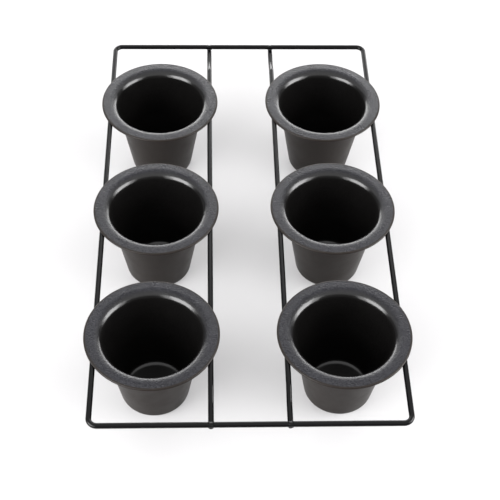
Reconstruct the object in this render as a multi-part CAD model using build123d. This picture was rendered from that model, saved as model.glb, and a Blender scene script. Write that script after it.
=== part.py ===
from build123d import *
import math
import os

# A popover pan: six deep steel cups hang by their rims in a frame of bent wire.
# X runs across the pan, Y along it and Z up. The origin is on the table, under the middle of
# the pan, which stands on the floors of its cups. Lengths are in millimetres.

# The cups, all alike, drawn from one sheet
sheet = 0.8
rim_height = 70.0
# the straight line of the inner wall meets the plane of the rim and the floor at these radii,
# and the flat rim reaches this far out from the first
mouth_radius = 36.3
floor_radius = 24.5
rim_width = 12.45
rim_radius = mouth_radius + rim_width
# inside radius of each bend of the sheet
floor_bend = 4.0
lip_bend = 6.2
hem_bend = 0.3
# the rim falls a little from the mouth outwards, and its edge is turned down, with a short
# straight lip of its own after the bend
rim_fall = 0.3
hem_edge = 0.1

# Free spaces between the rims, and from the end rims to the axis of the end bars
rim_gap = 25.5
aisle = 40.5
hand_gap = 26.25

# The wires, all of one rod
wire_radius = 2.0
corner_radius = 6.0
# the cups' edges stay this far above the wires, and the wires this far below the lip
hem_clearance = 0.2
lip_clearance = 0.1
# the side and inner wires lie this far inside the line where the roll of the lip ends
side_tuck = 1.25
inner_tuck = 0.25

# The inner wires step down near each end to pass under the end bars
set_down = 0.4
wire_overhang = 0.5
low_reach = 19.0
step_reach = 32.0
step_bend = 9.0

# The welds
cross_weld_radius = 1.5
cross_weld_height = 0.8
rim_weld_radius = 1.5
butt_weld_length = 1.2
butt_weld_upset = 0.25

# Where the cups stand
column_x = rim_radius + aisle / 2
row_pitch = 2 * rim_radius + rim_gap
columns = {"left": -column_x, "right": column_x}
rows = {"front": -row_pitch, "middle": 0, "back": row_pitch}

# The turned-down edge: from the top of the rim to the lowest point of the edge
hem_radius = hem_bend + sheet
hem_depth = rim_fall + hem_radius + hem_edge

# The roll of the lip: the line on which it runs out into the rim, and the centre of its bend
wall_angle = math.atan2(mouth_radius - floor_radius, rim_height - sheet)
lip_radius = lip_bend + sheet
lip_line = mouth_radius + lip_radius * math.tan((math.pi / 2 - wall_angle) / 2)
lip_centre_height = rim_height - lip_radius

# Where the wires run: outside and inside each column of cups, close under the lips
side_wire_offset = lip_line - side_tuck
inner_wire_offset = lip_line - inner_tuck
side_wire_x = column_x + side_wire_offset
inner_wire_x = column_x - inner_wire_offset
end_bar_y = row_pitch + rim_radius + hand_gap


def height_under_lip(tuck):
    """The axis of a wire that lies tuck beside the centre of the lip's bend, in its hollow."""
    play = lip_bend - wire_radius - lip_clearance
    return lip_centre_height + math.sqrt(max(0, play**2 - tuck**2))


height_under_hem = rim_height - hem_depth - hem_clearance - wire_radius
wire_height = min(height_under_hem, height_under_lip(side_tuck), height_under_lip(inner_tuck))
low_wire_height = wire_height - 2 * wire_radius + set_down


def right_normal(start, end):
    """The unit vector square to the line from start to end, on its right."""
    length = math.dist(start, end)
    return (end[1] - start[1]) / length, (start[0] - end[0]) / length


def underside(points, depth):
    """The corners of the same bent line on the sheet's other face, to the right of the first."""
    normals = [right_normal(a, b) for a, b in zip(points, points[1:])]
    before = [normals[0]] + normals
    after = normals + [normals[-1]]
    moved = []
    for point, first, second in zip(points, before, after):
        reach = depth / (1 + first[0] * second[0] + first[1] * second[1])
        moved.append((point[0] + reach * (first[0] + second[0]), point[1] + reach * (first[1] + second[1])))
    return moved


def cup_solid():
    """A cup about the Z axis, spun from its section: floor, wall, lip, rim and turned edge."""
    upper = [
        (0, sheet),
        (floor_radius, sheet),
        (mouth_radius, rim_height),
        (rim_radius, rim_height - rim_fall),
        (rim_radius, rim_height - hem_depth),
    ]
    lower = underside(upper, sheet)
    top = FilletPolyline(*upper, radius=[floor_bend, lip_radius, hem_radius])
    bottom = FilletPolyline(*lower, radius=[floor_bend + sheet, lip_bend, hem_bend])
    middle = Line(lower[0], upper[0])
    edge = Line(upper[-1], lower[-1])
    section = make_face(top.edges() + bottom.edges() + [middle, edge])
    return revolve(Plane.XZ * section, Axis.Z)


def rod(corners, bend):
    """A wire along the corners, with each one bent to the same radius."""
    path = FilletPolyline(*corners, radius=bend)
    start = Plane(origin=path @ 0, z_dir=path % 0)
    return sweep(start * Circle(wire_radius), path=path)


def perimeter_wire():
    """One rod round the whole pan. Its ends face each other at the butt weld."""
    end = butt_weld_length / 2
    corners = [
        (-side_wire_x, end, wire_height),
        (-side_wire_x, end_bar_y, wire_height),
        (side_wire_x, end_bar_y, wire_height),
        (side_wire_x, -end_bar_y, wire_height),
        (-side_wire_x, -end_bar_y, wire_height),
        (-side_wire_x, -end, wire_height),
    ]
    return rod(corners, corner_radius)


def inner_wire(x):
    """A rod along the aisle, stepped down at both ends so that they pass under the end bars."""
    tip = end_bar_y + wire_overhang
    low = end_bar_y - low_reach
    high = end_bar_y - step_reach
    front = [(x, -tip, low_wire_height), (x, -low, low_wire_height), (x, -high, wire_height)]
    back = [(x, high, wire_height), (x, low, low_wire_height), (x, tip, low_wire_height)]
    return rod(front + back, step_bend)


def cross_weld(x, y):
    """The nugget where an end bar has sunk into the inner wire under it."""
    height = wire_height - wire_radius + set_down / 2
    return Pos(x, y, height) * Cylinder(cross_weld_radius, cross_weld_height)


def rim_weld_places(x, y):
    """Where a cup is welded to its two wires: just inside the turned edge, ahead and behind."""
    outward = math.copysign(1, x)
    weld_line = rim_radius - hem_radius - rim_weld_radius
    places = []
    for offset in (outward * side_wire_offset, -outward * inner_wire_offset):
        along = math.sqrt(weld_line**2 - offset**2)
        places += [(x + offset, y - along), (x + offset, y + along)]
    return places


def rim_weld(x, y, cup):
    """A bead that fills the gap between a wire and the rim above it."""
    top = rim_height - sheet / 2 - rim_fall
    bead = Pos(x, y, wire_height) * extrude(Circle(rim_weld_radius), top - wire_height)
    length = 4 * rim_weld_radius
    wire = Pos(x, y, wire_height) * Rot(X=90) * Cylinder(wire_radius, length)
    return (bead - cup - wire).solid()


def write(name, shape):
    shape.label = name
    export_step(shape, f"parts/{name}.step")


os.makedirs("parts", exist_ok=True)

# The wires meet at four crossings, each with its nugget
crossings = {}
for end_name, y in (("front", -end_bar_y), ("back", end_bar_y)):
    for side_name, x in (("left", -inner_wire_x), ("right", inner_wire_x)):
        crossings[f"cross_weld_{end_name}_{side_name}"] = cross_weld(x, y)

frame = perimeter_wire()
inner_wires = {"left": inner_wire(-inner_wire_x), "right": inner_wire(inner_wire_x)}
for nugget in crossings.values():
    frame -= nugget
for side_name, wire in inner_wires.items():
    for nugget in crossings.values():
        wire -= nugget
    write(f"inner_wire_{side_name}", wire - frame)
write("perimeter_wire", frame)
for name, nugget in crossings.items():
    write(name, nugget)

# The weld that closes the outer wire, upset a little proud of it, hidden under a rim
butt_weld = Cylinder(wire_radius + butt_weld_upset, butt_weld_length)
write("perimeter_butt_weld", Pos(-side_wire_x, 0, wire_height) * Rot(X=90) * butt_weld)

# The cups, each with its four welds
plain_cup = cup_solid()
for row_name, y in rows.items():
    for column_name, x in columns.items():
        cup = Pos(x, y, 0) * plain_cup
        write(f"cup_{row_name}_{column_name}", cup)
        beads = [rim_weld(*place, cup) for place in rim_weld_places(x, y)]
        write(f"rim_welds_{row_name}_{column_name}", Compound(children=beads))

print("wire height", round(wire_height, 3))
print("side wire", round(side_wire_x, 3), "inner wire", round(inner_wire_x, 3), "end bar", end_bar_y)
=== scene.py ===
import bmesh
import bpy
import math
from mathutils import Matrix, Vector


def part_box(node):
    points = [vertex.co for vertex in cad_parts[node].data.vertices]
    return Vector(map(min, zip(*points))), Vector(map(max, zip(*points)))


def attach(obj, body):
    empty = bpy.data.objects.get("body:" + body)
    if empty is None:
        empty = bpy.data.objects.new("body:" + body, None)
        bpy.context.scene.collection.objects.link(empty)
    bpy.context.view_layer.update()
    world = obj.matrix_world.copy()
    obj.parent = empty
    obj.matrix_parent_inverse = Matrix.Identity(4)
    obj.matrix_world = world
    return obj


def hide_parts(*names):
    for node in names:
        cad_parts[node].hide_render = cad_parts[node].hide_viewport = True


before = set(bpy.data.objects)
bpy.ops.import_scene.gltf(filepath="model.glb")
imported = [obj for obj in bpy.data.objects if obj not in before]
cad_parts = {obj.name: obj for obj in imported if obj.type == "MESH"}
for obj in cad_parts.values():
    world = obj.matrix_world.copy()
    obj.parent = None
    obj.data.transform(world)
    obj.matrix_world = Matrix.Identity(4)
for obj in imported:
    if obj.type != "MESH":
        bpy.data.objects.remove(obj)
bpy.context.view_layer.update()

# The cups
# Six deep cups, each drawn from one round of sheet steel: a flat floor, a tapered wall, a lip
# rolled outwards and a wide flat rim with its edge turned down. The black non-stick coat is
# glossy inside, duller and speckled on the flat rim, and thin and dull outside and on the edge.

cup_rows = ("front", "middle", "back")
cup_columns = ("left", "right")

sheet = 0.0008
mouth_radius = 0.0363
floor_radius = 0.0245
floor_bend = 0.004
lip_bend = 0.0062
hem_bend = 0.0003
rim_fall = 0.0003
hem_edge = 0.0001
hem_depth = rim_fall + hem_bend + sheet + hem_edge

first_cup_low, first_cup_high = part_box("cup_front_left")
rim_radius = (first_cup_high.x - first_cup_low.x) / 2
# the box reaches the crest of the lip, which is a little lower than the corner of its two lines
rim_height = 0.07


def right_normal(start, end):
    """The unit vector square to the line from start to end, on its right."""
    length = math.dist(start, end)
    return (end[1] - start[1]) / length, (start[0] - end[0]) / length


def other_face(corners, depth):
    """The corners of the same bent line on the sheet's other face, to the right of the first."""
    normals = [right_normal(a, b) for a, b in zip(corners, corners[1:])]
    sides = zip(normals[:1] + normals, normals + normals[-1:])
    moved = []
    for (x, y), (before, after) in zip(corners, sides):
        reach = depth / (1 + before[0] * after[0] + before[1] * after[1])
        moved.append((x + reach * (before[0] + after[0]), y + reach * (before[1] + after[1])))
    return moved


def guarded(corners, facts, guard=0.0004):
    """Adds a point to each straight run, a little way off the bend at each of its ends, so that
    a flat run stays flat in the light and only the bend looks bent. A run gets none if they
    would lie nearer to each other than that little way."""
    corners = [Vector(corner) for corner in corners]
    taken = [0.0] * len(corners)
    for i in range(1, len(corners) - 1):
        turn = (corners[i] - corners[i - 1]).angle(corners[i + 1] - corners[i])
        taken[i] = facts["bend"][i] * math.tan(turn / 2)
    points, kept = [], {fact: [] for fact in facts}

    def keep(point, i, at_corner):
        points.append(point)
        for fact, values in facts.items():
            kept[fact].append(0.0 if fact == "bend" and not at_corner else float(values[i]))

    for i, corner in enumerate(corners):
        keep(corner, i, True)
        if i + 1 == len(corners):
            break
        run = corners[i + 1] - corner
        if run.length > taken[i] + taken[i + 1] + 3 * guard:
            ahead = run.normalized()
            if taken[i]:
                keep(corner + ahead * (taken[i] + guard), i, False)
            if taken[i + 1]:
                keep(corners[i + 1] - ahead * (taken[i + 1] + guard), i + 1, False)
    return points, kept


def guide_line(name, corners, facts):
    """A line of corners as an object, with facts such as each corner's bend kept on its points."""
    if "bend" in facts:
        corners, facts = guarded(corners, facts)
        ends = [(i, i + 1) for i in range(len(corners) - 1)]
    else:
        ends = []
    mesh = bpy.data.meshes.new(name)
    mesh.from_pydata(corners, ends, [])
    for fact, values in facts.items():
        mesh.attributes.new(fact, "FLOAT", "POINT").data.foreach_set("value", values)
    guide = bpy.data.objects.new(name, mesh)
    bpy.context.collection.objects.link(guide)
    return guide


def new_tree(name, inputs):
    """A tree for one kind of piece. Its inputs are the guide and then the piece's own sizes."""
    tree = bpy.data.node_groups.new(name, "GeometryNodeTree")
    tree.interface.new_socket("Guide", in_out="INPUT", socket_type="NodeSocketGeometry")
    for label, kind in inputs.items():
        tree.interface.new_socket(label, in_out="INPUT", socket_type=f"NodeSocket{kind}")
    tree.interface.new_socket("Piece", in_out="OUTPUT", socket_type="NodeSocketGeometry")
    return tree, tree.nodes.new("NodeGroupInput").outputs


def put(tree, kind, links, **settings):
    """Adds a node, with its settings, and links or sets its inputs. Gives back its first output."""
    node = tree.nodes.new(kind)
    for setting, value in settings.items():
        setattr(node, setting, value)
    for socket, value in links.items():
        if isinstance(value, bpy.types.NodeSocket):
            tree.links.new(value, node.inputs[socket])
        else:
            node.inputs[socket].default_value = value
    return node.outputs[0]


def sum_of(tree, kind, *terms):
    """A sum, product or other operation on numbers in a tree."""
    return put(tree, "ShaderNodeMath", dict(enumerate(terms)), operation=kind)


def turn_of(tree, kind, *terms):
    """A sum, product or other operation on vectors in a tree."""
    return put(tree, "ShaderNodeVectorMath", dict(enumerate(terms)), operation=kind)


def level_length(tree, vector):
    """The length of a vector in a tree, as seen from above."""
    level = turn_of(tree, "MULTIPLY", vector, (1, 1, 0))
    return turn_of(tree, "LENGTH", level).node.outputs["Value"]


def change(tree, value, start, end, low, high, kind="SMOOTHSTEP"):
    """A number that goes from low to high while a value goes from start to end."""
    links = {"Value": value, "From Min": start, "From Max": end, "To Min": low, "To Max": high}
    return put(tree, "ShaderNodeMapRange", links, interpolation_type=kind)


def kept_fact(tree, name):
    """A fact that the guide's points carry, such as the bend at a corner."""
    return put(tree, "GeometryNodeInputNamedAttribute", {"Name": name}, data_type="FLOAT")


def bent_line(tree, given):
    """The guide as a curve, with its corners rounded to their bends."""
    line = put(tree, "GeometryNodeMeshToCurve", {"Mesh": given["Guide"]})
    links = {"Curve": line, "Count": given["Steps in a bend"], "Radius": kept_fact(tree, "bend")}
    return put(tree, "GeometryNodeFilletCurve", links, mode="POLY")


def end_tree(tree, mesh):
    """Ends a tree with whole geometry, because instances aren't kept."""
    whole = put(tree, "GeometryNodeRealizeInstances", {"Geometry": mesh})
    tree.links.new(whole, tree.nodes.new("NodeGroupOutput").inputs[0])


def made_piece(name, guide, tree, sizes, node):
    """Runs the tree on the guide, keeps the plain mesh, and lets it stand for the solid."""
    sharp_angle = math.radians(35)
    modifier = guide.modifiers.new(tree.name, "NODES")
    modifier.node_group = tree
    sockets = {s.name: s.identifier for s in tree.interface.items_tree if s.in_out == "INPUT"}
    for label, value in sizes.items():
        modifier[sockets[label]] = value
    finished = guide.evaluated_get(bpy.context.evaluated_depsgraph_get())
    mesh = bpy.data.meshes.new_from_object(finished)
    mesh.name = name
    guide.modifiers.remove(modifier)
    bpy.data.objects.remove(guide)
    shell = bmesh.new()
    shell.from_mesh(mesh)
    bmesh.ops.recalc_face_normals(shell, faces=shell.faces)
    shell.to_mesh(mesh)
    shell.free()
    mesh.set_sharp_from_angle(angle=sharp_angle)
    piece = bpy.data.objects.new(name, mesh)
    bpy.context.collection.objects.link(piece)
    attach(piece, "root")
    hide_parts(node)


def sprayed_coat(name, tones, peel, grain, roughness, ior, dull=None):
    """A sprayed coat: clouded and speckled tone, orange peel, fine grain and a patchy sheen.
    With dull, the tones, grain and roughness change to its own where the piece's dull_share
    is 1, and the shine is speckled there as well."""
    # how many lumps of each pattern there are in a metre
    cloud_scale, speckle_scale, patch_scale, peel_scale = 38.0, 1000.0, 90.0, 700.0
    speckle_share = 0.65
    # nearly all of a pattern's values lie between these two
    pattern_low, pattern_high = 0.3, 0.7
    plain_shine = 0.5

    material = bpy.data.materials.new(name)
    material.use_nodes = True
    tree = material.node_tree
    tree.nodes.clear()
    place = tree.nodes.new("ShaderNodeTexCoord").outputs["Object"]

    def noise(scale, detail):
        return put(tree, "ShaderNodeTexNoise", {"Vector": place, "Scale": scale, "Detail": detail})

    def tone_between(mix, pair):
        ramp = tree.nodes.new("ShaderNodeValToRGB")
        ends = zip(ramp.color_ramp.elements, (pattern_low, pattern_high), pair)
        for element, position, colour in ends:
            element.position, element.color = position, (*colour, 1)
        tree.links.new(mix, ramp.inputs[0])
        return ramp.outputs[0]

    def spread(value, low, high):
        return change(tree, value, pattern_low, pattern_high, low, high, "LINEAR")

    clouds = noise(cloud_scale, 3.0)
    speckle = noise(speckle_scale, 2.0)
    patches = noise(patch_scale, 4.0)
    mix = put(tree, "ShaderNodeMix", {0: speckle_share, 2: clouds, 3: speckle})
    tone = tone_between(mix, tones)
    sheen = spread(patches, *roughness)
    fine = put(tree, "ShaderNodeBump", {"Height": speckle, "Strength": 1.0, "Distance": grain})
    peeled = {"Height": noise(peel_scale, 2.0), "Strength": 1.0, "Distance": peel, "Normal": fine}
    inputs = {"Normal": put(tree, "ShaderNodeBump", peeled), "IOR": ior}
    if dull:
        kept = put(tree, "ShaderNodeAttribute", {}, attribute_name="dull_share")
        share = kept.node.outputs["Fac"]
        mixed = put(tree, "ShaderNodeMix", {0: share}, data_type="RGBA").node
        tree.links.new(tone, mixed.inputs[6])
        tree.links.new(tone_between(mix, dull["tones"]), mixed.inputs[7])
        tone = mixed.outputs[2]
        dull_sheen = spread(patches, *dull["roughness"])
        sheen = put(tree, "ShaderNodeMix", {0: share, 2: sheen, 3: dull_sheen})
        depth = put(tree, "ShaderNodeMix", {0: share, 2: grain, 3: dull["grain"]})
        tree.links.new(depth, fine.node.inputs["Distance"])
        shine = {0: share, 2: plain_shine, 3: spread(speckle, *dull["shine"])}
        inputs["Specular IOR Level"] = put(tree, "ShaderNodeMix", shine)
    inputs.update({"Base Color": tone, "Roughness": sheen})
    shader = put(tree, "ShaderNodeBsdfPrincipled", inputs)
    tree.links.new(shader, tree.nodes.new("ShaderNodeOutputMaterial").inputs[0])
    return material


inside_coat = sprayed_coat(
    "nonstick_inside",
    tones=((0.0017, 0.0016, 0.0016), (0.0032, 0.003, 0.0029)),
    peel=0.00004,
    grain=0.00001,
    roughness=(0.14, 0.22),
    ior=1.36,
    dull={
        "tones": ((0.0002, 0.0002, 0.0012), (0.0036, 0.0035, 0.0064)),
        "grain": 0.0004,
        "roughness": (0.24, 0.36),
        "shine": (0.2, 0.56),
    },
)
outside_coat = sprayed_coat(
    "nonstick_outside",
    tones=((0.0052, 0.0038, 0.0031), (0.0085, 0.0065, 0.0054)),
    peel=0.00003,
    grain=0.00002,
    roughness=(0.34, 0.44),
    ior=1.22,
)

# The section is turned about the cup's middle line. It starts under the floor, goes out and up
# to the rim's edge on the sheet's outer face, and comes back to the floor on the inner one.
inner_corners = [
    (0, sheet),
    (floor_radius, sheet),
    (mouth_radius, rim_height),
    (rim_radius, rim_height - rim_fall),
    (rim_radius, rim_height - hem_depth),
]
outer_corners = other_face(inner_corners, sheet)
inner_bends = [0, floor_bend, lip_bend + sheet, hem_bend + sheet, 0]
outer_bends = [0, floor_bend + sheet, lip_bend, hem_bend, 0]
wall_angle = math.atan2(mouth_radius - floor_radius, rim_height - sheet)
lip_line = mouth_radius + (lip_bend + sheet) * math.tan((math.pi / 2 - wall_angle) / 2)
# the section is carried round a circle of this radius, and is drawn from the circle
turning_radius = 0.02

turned, given = new_tree(
    "turned_cup",
    {
        "Turning radius": "Float",
        "Steps in a bend": "Int",
        "Steps round": "Int",
        "Place": "Vector",
        "Rim waviness": "Float",
        "Seed": "Float",
        "Coat inside": "Material",
        "Coat outside": "Material",
    },
)
section = bent_line(turned, given)
ring = put(
    turned,
    "GeometryNodeCurvePrimitiveCircle",
    {"Resolution": given["Steps round"], "Radius": given["Turning radius"]},
)
shell = put(turned, "GeometryNodeCurveToMesh", {"Curve": ring, "Profile Curve": section})
same_point = 0.00001
shell = put(turned, "GeometryNodeMergeByDistance", {"Geometry": shell, "Distance": same_point})
# presses leave a wide rim a little wavy, more so towards its edge
rim_wave_scale = 22.0
noise_middle = 0.5
spot = put(turned, "GeometryNodeInputPosition", {})
reach = level_length(turned, spot)
share = change(turned, reach, mouth_radius, rim_radius, 0.0, 1.0, "LINEAR")
wave = put(
    turned,
    "ShaderNodeTexNoise",
    {"Vector": spot, "W": given["Seed"], "Scale": rim_wave_scale, "Detail": 1.0},
    noise_dimensions="4D",
)
wave = sum_of(turned, "MULTIPLY", sum_of(turned, "SUBTRACT", wave, noise_middle), share)
wave = sum_of(turned, "MULTIPLY", wave, given["Rim waviness"])
rise = put(turned, "ShaderNodeCombineXYZ", {"Z": wave})
# the coat turns from glossy to dull across the lip
dull_share = change(turned, reach, mouth_radius, lip_line, 0.0, 1.0)
shell = put(
    turned,
    "GeometryNodeStoreNamedAttribute",
    {"Geometry": shell, "Name": "dull_share", "Value": dull_share},
    data_type="FLOAT",
    domain="POINT",
)
shell = put(turned, "GeometryNodeSetPosition", {"Geometry": shell, "Offset": rise})
shell = put(turned, "GeometryNodeTransform", {"Geometry": shell, "Translation": given["Place"]})
shell = put(turned, "GeometryNodeSetShadeSmooth", {"Geometry": shell})
inside = {"Geometry": shell, "Material": given["Coat inside"]}
shell = put(turned, "GeometryNodeSetMaterial", inside)
# a face has the outside coat where all of its corners have it, which is more than this share
most_corners = 0.75
under = put(
    turned,
    "FunctionNodeCompare",
    {0: kept_fact(turned, "outside"), 1: most_corners},
    data_type="FLOAT",
    operation="GREATER_THAN",
)
outside = {"Geometry": shell, "Selection": under, "Material": given["Coat outside"]}
shell = put(turned, "GeometryNodeSetMaterial", outside)
end_tree(turned, shell)

section_corners = outer_corners + inner_corners[::-1]
# the way back starts with the turned-down edge, whose two corners have the outside coat too
edge_corners = 2
section_facts = {
    "bend": outer_bends + inner_bends[::-1],
    "outside": [1.0] * (len(outer_corners) + edge_corners)
    + [0.0] * (len(inner_corners) - edge_corners),
}
cup_sizes = {
    "Turning radius": turning_radius,
    "Steps in a bend": 8,
    "Steps round": 256,
    "Rim waviness": 0.0003,
    "Coat inside": inside_coat,
    "Coat outside": outside_coat,
}
seed_step = 1.7

for number, (row, column) in enumerate((r, c) for r in cup_rows for c in cup_columns):
    low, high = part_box(f"cup_{row}_{column}")
    middle = (low + high) / 2
    made_piece(
        f"drawn_cup_{row}_{column}",
        guide_line(
            "cup_section",
            [(r - turning_radius, -z, 0) for r, z in section_corners],
            section_facts,
        ),
        turned,
        {**cup_sizes, "Place": (middle.x, middle.y, 0.0), "Seed": seed_step * number},
        f"cup_{row}_{column}",
    )

# The perimeter wire
# One round steel rod, bent into a rectangle, with its two ends meeting under a rim. It runs
# under the outer rims and makes the two end bars. The spot welding electrodes have left a shallow
# dished mark on each end bar over the inner wires. It has a black coat too, sprayed thin.

wire_radius = 0.002
corner_radius = 0.006
rod_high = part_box("perimeter_wire")[1]
side_wire_x = rod_high.x - wire_radius
end_bar_y = rod_high.y - wire_radius
wire_height = rod_high.z - wire_radius
aisle_wire_low, aisle_wire_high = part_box("inner_wire_right")
inner_wire_x = (aisle_wire_low.x + aisle_wire_high.x) / 2
butt_low, butt_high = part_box("perimeter_butt_weld")
butt_end = butt_high.y

wire_coat = sprayed_coat(
    "coated_rod",
    tones=((0.0003, 0.0003, 0.0004), (0.0009, 0.0009, 0.0011)),
    peel=0.00003,
    grain=0.00001,
    roughness=(0.12, 0.2),
    ior=1.21,
)

rod, given = new_tree(
    "bent_rod",
    {
        "Rod radius": "Float",
        "Steps in a bend": "Int",
        "Steps round": "Int",
        "Mark place": "Vector",
        "Mark radius": "Float",
        "Mark depth": "Float",
        "Mark lip": "Float",
        "Coat": "Material",
    },
)
path = bent_line(rod, given)
ring = put(
    rod,
    "GeometryNodeCurvePrimitiveCircle",
    {"Resolution": given["Steps round"], "Radius": given["Rod radius"]},
)
bar = put(
    rod,
    "GeometryNodeCurveToMesh",
    {"Curve": path, "Profile Curve": ring, "Scale": kept_fact(rod, "girth"), "Fill Caps": True},
)
# the marks lie alike on both sides and both ends, so one place does for all four
spot = put(rod, "GeometryNodeInputPosition", {})
away = turn_of(rod, "SUBTRACT", turn_of(rod, "ABSOLUTE", spot), given["Mark place"])
distance = sum_of(rod, "DIVIDE", level_length(rod, away), given["Mark radius"])
height = put(rod, "ShaderNodeSeparateXYZ", {0: away}).node.outputs["Z"]
# in radii of the mark, the dish's floor and edge, and the crest and half width of its lip
dish_floor, dish_edge = 0.7, 1.0
lip_crest, lip_spread = 1.1, 0.22
dish = change(rod, distance, dish_floor, dish_edge, 1.0, 0.0)
off_crest = sum_of(rod, "ABSOLUTE", sum_of(rod, "SUBTRACT", distance, lip_crest))
lip = change(rod, off_crest, 0.0, lip_spread, 1.0, 0.0)
drop = sum_of(
    rod,
    "SUBTRACT",
    sum_of(rod, "MULTIPLY", lip, given["Mark lip"]),
    sum_of(rod, "MULTIPLY", dish, given["Mark depth"]),
)
drop = sum_of(rod, "MULTIPLY", drop, sum_of(rod, "GREATER_THAN", height, 0.0))
fall = put(rod, "ShaderNodeCombineXYZ", {"Z": drop})
bar = put(rod, "GeometryNodeSetPosition", {"Geometry": bar, "Offset": fall})
bar = put(rod, "GeometryNodeSetShadeSmooth", {"Geometry": bar})
bar = put(rod, "GeometryNodeSetMaterial", {"Geometry": bar, "Material": given["Coat"]})
end_tree(rod, bar)

rod_sizes = {
    "Rod radius": wire_radius,
    "Steps in a bend": 14,
    "Steps round": 32,
    "Mark place": (inner_wire_x, end_bar_y, wire_height),
    "Mark radius": 0.0019,
    "Mark depth": 0.0004,
    "Mark lip": 0.0002,
    "Coat": wire_coat,
}

# the marks need close rings of points along the bar, from one side of each to the other
mark_reach = 0.003
mark_rings = 20


def bar_points(y, direction):
    """The points of an end bar from one corner to the other, close together at both marks."""
    points = [(-direction * side_wire_x, y, wire_height)]
    for x in (-direction * inner_wire_x, direction * inner_wire_x):
        for ring_number in range(mark_rings + 1):
            step = mark_reach * (2 * ring_number / mark_rings - 1)
            points.append((x + direction * step, y, wire_height))
    return points + [(direction * side_wire_x, y, wire_height)]


back_bar = bar_points(end_bar_y, 1)
front_bar = bar_points(-end_bar_y, -1)
bar_bends = [corner_radius] + [0] * (len(back_bar) - 2) + [corner_radius]
corners = [
    (-side_wire_x, butt_end, wire_height),
    *back_bar,
    *front_bar,
    (-side_wire_x, -butt_end, wire_height),
]
made_piece(
    "perimeter_rod",
    guide_line(
        "perimeter",
        corners,
        {"bend": [0, *bar_bends, *bar_bends, 0], "girth": [1] * len(corners)},
    ),
    rod,
    rod_sizes,
    "perimeter_wire",
)

# The butt weld
# The rod's two ends were pressed together hot, which left a low ring of upset metal round the
# joint. It lies under the rim of the left middle cup, ground lightly and coated with the rest.

weld_coat = sprayed_coat(
    "coated_weld",
    tones=((0.004, 0.004, 0.0043), (0.008, 0.008, 0.0085)),
    peel=0.00008,
    grain=0.00003,
    roughness=(0.34, 0.5),
    ior=1.35,
)
upset = (butt_high.z - butt_low.z) / 2 / wire_radius
upset_steps = 12
along = [butt_end * (2 * step / upset_steps - 1) for step in range(upset_steps + 1)]
made_piece(
    "butt_weld_ring",
    guide_line(
        "butt_joint",
        [(-side_wire_x, y, wire_height) for y in along],
        {
            "bend": [0] * len(along),
            "girth": [1 + (upset - 1) * math.sqrt(1 - (y / butt_end) ** 2) for y in along],
        },
    ),
    rod,
    {**rod_sizes, "Steps round": 48, "Coat": weld_coat},
    "perimeter_butt_weld",
)

# The inner wires
# Two rods of the same steel along the aisle, one each side. Both ends of each are stepped down
# to pass under the end bars, and cropped a little beyond them, so the tips have a blunt edge.

step_bend = 0.009
low_reach = 0.019
step_reach = 0.032
low_wire_height = aisle_wire_low.z + wire_radius
tip_y = aisle_wire_high.y
# how far back from the tip, and the share of the full thickness there
tip_shape = (
    (0, 0.45),
    (0.0001, 0.62),
    (0.0003, 0.78),
    (0.0006, 0.89),
    (0.001, 0.965),
    (0.0015, 1),
)

for side, x in (("left", -inner_wire_x), ("right", inner_wire_x)):
    half = [
        *((tip_y - back, low_wire_height, 0, girth) for back, girth in tip_shape),
        (end_bar_y - low_reach, low_wire_height, step_bend, 1),
        (end_bar_y - step_reach, wire_height, step_bend, 1),
    ]
    whole = [(-y, z, bend, girth) for y, z, bend, girth in half] + half[::-1]
    made_piece(
        f"inner_rod_{side}",
        guide_line(
            "inner_wire_line",
            [(x, y, z) for y, z, bend, girth in whole],
            {
                "bend": [bend for y, z, bend, girth in whole],
                "girth": [girth for y, z, bend, girth in whole],
            },
        ),
        rod,
        {**rod_sizes, "Mark depth": 0.0, "Mark lip": 0.0},
        f"inner_wire_{side}",
    )

# The crossing welds
# Where an end bar was pressed hot into the inner wire under it, a low collar of metal was
# squeezed out round the joint. There are four, one at each crossing, all under the coat.

squeezed, given = new_tree(
    "squeezed_weld",
    {
        "Radius": "Float",
        "Stretch": "Float",
        "Height": "Float",
        "Lumps": "Float",
        "Waist": "Float",
        "Coat": "Material",
    },
)
lump_scale = 900.0
ball = {"Segments": 40, "Rings": 20, "Radius": 1.0}
blob = put(squeezed, "GeometryNodeMeshUVSphere", ball)
spot = put(squeezed, "GeometryNodeInputPosition", {})
parts = put(squeezed, "ShaderNodeSeparateXYZ", {0: spot}).node.outputs
# a waist draws the middle in, as on a bead that is wetted to the metal above and below it
level = sum_of(squeezed, "MULTIPLY", parts["Z"], parts["Z"])
slack = sum_of(squeezed, "SUBTRACT", 1.0, level)
draw = sum_of(squeezed, "SUBTRACT", 1.0, sum_of(squeezed, "MULTIPLY", given["Waist"], slack))
wide = sum_of(squeezed, "MULTIPLY", given["Radius"], draw)
across = sum_of(squeezed, "MULTIPLY", wide, given["Stretch"])
half_height = sum_of(squeezed, "MULTIPLY", given["Height"], 0.5)
size = put(squeezed, "ShaderNodeCombineXYZ", {"X": across, "Y": wide, "Z": half_height})
shaped = turn_of(squeezed, "MULTIPLY", spot, size)
blob = put(squeezed, "GeometryNodeSetPosition", {"Geometry": blob, "Position": shaped})
placed = {"Points": given["Guide"], "Instance": blob}
blobs = put(squeezed, "GeometryNodeInstanceOnPoints", placed)
blobs = put(squeezed, "GeometryNodeRealizeInstances", {"Geometry": blobs})
spot = put(squeezed, "GeometryNodeInputPosition", {})
lumpy = {"Vector": spot, "Scale": lump_scale, "Detail": 2.0}
lump = put(squeezed, "ShaderNodeTexNoise", lumpy).node.outputs["Color"]
lump = turn_of(squeezed, "SUBTRACT", lump, (noise_middle,) * 3)
lump = put(
    squeezed,
    "ShaderNodeVectorMath",
    {0: lump, "Scale": given["Lumps"]},
    operation="SCALE",
)
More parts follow.
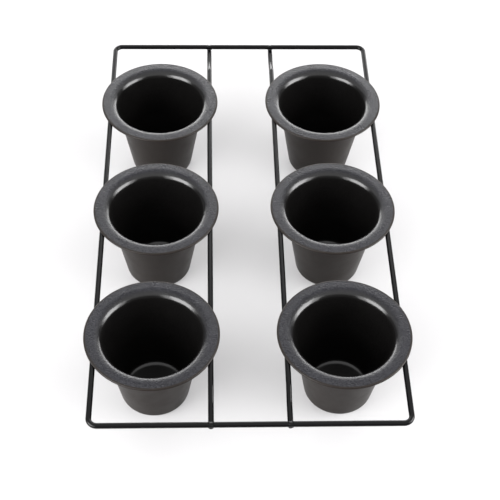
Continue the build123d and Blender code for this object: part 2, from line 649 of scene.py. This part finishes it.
blobs = put(squeezed, "GeometryNodeSetPosition", {"Geometry": blobs, "Offset": lump})
blobs = put(squeezed, "GeometryNodeSetShadeSmooth", {"Geometry": blobs})
coated = {"Geometry": blobs, "Material": given["Coat"]}
blobs = put(squeezed, "GeometryNodeSetMaterial", coated)
end_tree(squeezed, blobs)

collar_sizes = {
    "Radius": 0.00195,
    "Stretch": 1.35,
    "Height": 0.0019,
    "Lumps": 0.0003,
    "Waist": 0.0,
    "Coat": weld_coat,
}

for end in ("front", "back"):
    for side in ("left", "right"):
        node = f"cross_weld_{end}_{side}"
        low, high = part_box(node)
        made_piece(
            f"crossing_collar_{end}_{side}",
            guide_line("crossing", [(low + high) / 2], {}),
            squeezed,
            collar_sizes,
            node,
        )

# The rim welds
# Each cup hangs in the frame by four small beads between its rim and the two wires under it,
# two on each wire, just inside the turned edge. A bead spreads on the wire and on the rim.

hem_radius = hem_bend + sheet
rim_weld_radius = 0.0015
weld_line = rim_radius - hem_radius - rim_weld_radius
# a bead reaches from the flank of the wire to the middle of the rim's sheet
foot_share = 0.6
bead_top = rim_height - rim_fall - sheet / 2
bead_foot = wire_height + wire_radius * foot_share
bead_sizes = {
    "Radius": 0.0021,
    "Stretch": 1.0,
    "Height": bead_top - bead_foot,
    "Lumps": 0.00025,
    "Waist": 0.2,
    "Coat": weld_coat,
}

for row in cup_rows:
    for column, outward in zip(cup_columns, (-1, 1)):
        low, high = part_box(f"cup_{row}_{column}")
        middle = (low + high) / 2
        places = []
        for x in (outward * side_wire_x, outward * inner_wire_x):
            along = math.sqrt(weld_line**2 - (x - middle.x) ** 2)
            places += [(x, middle.y + sign * along, (bead_foot + bead_top) / 2) for sign in (-1, 1)]
        node = f"rim_welds_{row}_{column}"
        made_piece(
            f"rim_beads_{row}_{column}",
            guide_line("rim_weld_places", places, {}),
            squeezed,
            bead_sizes,
            node,
        )

# The table and the light
# A white table top without an edge in view, in a white room that is lighter overhead. A broad
# lit backdrop stands behind the pan, brightest low down, and on each side, a little in front,
# there is a soft lamp with a wider and dimmer one behind it.

table_size = 6.0
table_gap = 0.00005
paper_colour = (0.2, 0.198, 0.2, 1)
paper_roughness = 0.8
paper_glow = (1, 0.99, 1, 1)
paper_glow_strength = 0.3
fibre_scale = 400.0
fibre_bump = 0.2
fibre_height = 0.0001

mesh = bpy.data.meshes.new("table_top")
top = bmesh.new()
lowered = Matrix.Translation((0, 0, -table_gap))
bmesh.ops.create_grid(top, x_segments=2, y_segments=2, size=table_size / 2, matrix=lowered)
top.to_mesh(mesh)
top.free()
table_top = bpy.data.objects.new("table_top", mesh)
bpy.context.collection.objects.link(table_top)

paper = bpy.data.materials.new("white_paper")
paper.use_nodes = True
tree = paper.node_tree
tree.nodes.clear()
place = tree.nodes.new("ShaderNodeTexCoord").outputs["Object"]
fibre = put(tree, "ShaderNodeTexNoise", {"Vector": place, "Scale": fibre_scale, "Detail": 3.0})
fibres = {"Height": fibre, "Strength": fibre_bump, "Distance": fibre_height}
shader = put(
    tree,
    "ShaderNodeBsdfPrincipled",
    {
        "Base Color": paper_colour,
        "Roughness": paper_roughness,
        "Normal": put(tree, "ShaderNodeBump", fibres),
        "Emission Color": paper_glow,
        "Emission Strength": paper_glow_strength,
    },
)
tree.links.new(shader, tree.nodes.new("ShaderNodeOutputMaterial").inputs[0])
mesh.materials.append(paper)

scene = bpy.context.scene
scene.view_settings.view_transform = "Standard"
room = bpy.data.worlds.new("white_room")
room.use_nodes = True
tree = room.node_tree
direction = tree.nodes.new("ShaderNodeTexCoord").outputs["Generated"]
steepness = put(tree, "ShaderNodeSeparateXYZ", {0: direction}).node.outputs["Z"]
# the room glows dimly near the floor and brightly overhead, and turns from one to the other
# between these two heights on a round of radius 1
low_glow, high_glow = 0.3, 2.1
dim_below, bright_above = 0.3, 0.62
glow = change(tree, steepness, dim_below, bright_above, low_glow, high_glow)
background = tree.nodes["Background"]
background.inputs["Color"].default_value = (1, 1, 1, 1)
tree.links.new(glow, background.inputs["Strength"])
scene.world = room


def soft_lamp(name, bearing, distance, low, high, width, brightness):
    """A rectangular lamp that faces the pan, at a bearing in degrees to the right of straight
    behind it. It reaches from low to high above the table."""
    side = math.radians(bearing)
    tall = high - low
    lamp = bpy.data.lights.new(name, "AREA")
    lamp.shape, lamp.size, lamp.size_y = "RECTANGLE", width, tall
    lamp.energy = brightness * math.pi * width * tall
    holder = bpy.data.objects.new(name, lamp)
    holder.location = (distance * math.sin(side), distance * math.cos(side), (low + high) / 2)
    holder.rotation_euler = (-Vector(holder.location)).to_track_quat("-Z", "Y").to_euler()
    holder.visible_camera = False
    bpy.context.collection.objects.link(holder)


# each lamp's name, bearing, distance, foot, top, width and brightness
lamps = (
    ("lit_backdrop", 4, 1.6, 0.62, 1.8, 2.1, 1.9),
    ("low_backdrop", 3, 1.6, 0.02, 0.62, 2.8, 9.5),
    ("right_lamp", 102, 1.2, 0.02, 0.9, 0.75, 12.0),
    ("right_lamp_edge", 104, 1.25, 0.02, 0.9, 1.4, 7.0),
    ("left_lamp", -123, 1.2, 0.02, 0.9, 0.85, 13.0),
    ("left_lamp_edge", -126, 1.25, 0.02, 0.9, 1.5, 7.0),
)
for lamp in lamps:
    soft_lamp(*lamp)

# The camera
# It stands in front of the pan and looks down on it from about half way up, turned and tilted
# a little. The picture is square.

picture_width = 500
focal_pixels = 1203.6
camera_place = (-0.0274, -0.6424, 0.7574)
look_down = math.radians(48.967)
look_right = math.radians(2.918)
tilt = math.radians(1.955)

ahead = Vector(
    (
        math.sin(look_right) * math.cos(look_down),
        math.cos(look_right) * math.cos(look_down),
        -math.sin(look_down),
    )
)
level_right = Vector((math.cos(look_right), -math.sin(look_right), 0))
level_up = level_right.cross(ahead)
right = level_right * math.cos(tilt) + level_up * math.sin(tilt)
up = level_up * math.cos(tilt) - level_right * math.sin(tilt)

lens = bpy.data.cameras.new("camera")
lens.sensor_width = 36.0
lens.lens = focal_pixels / picture_width * lens.sensor_width
camera = bpy.data.objects.new("camera", lens)
camera_turn = Matrix((right, up, -ahead)).transposed().to_4x4()
camera.matrix_world = Matrix.Translation(camera_place) @ camera_turn
bpy.context.collection.objects.link(camera)
scene.camera = camera
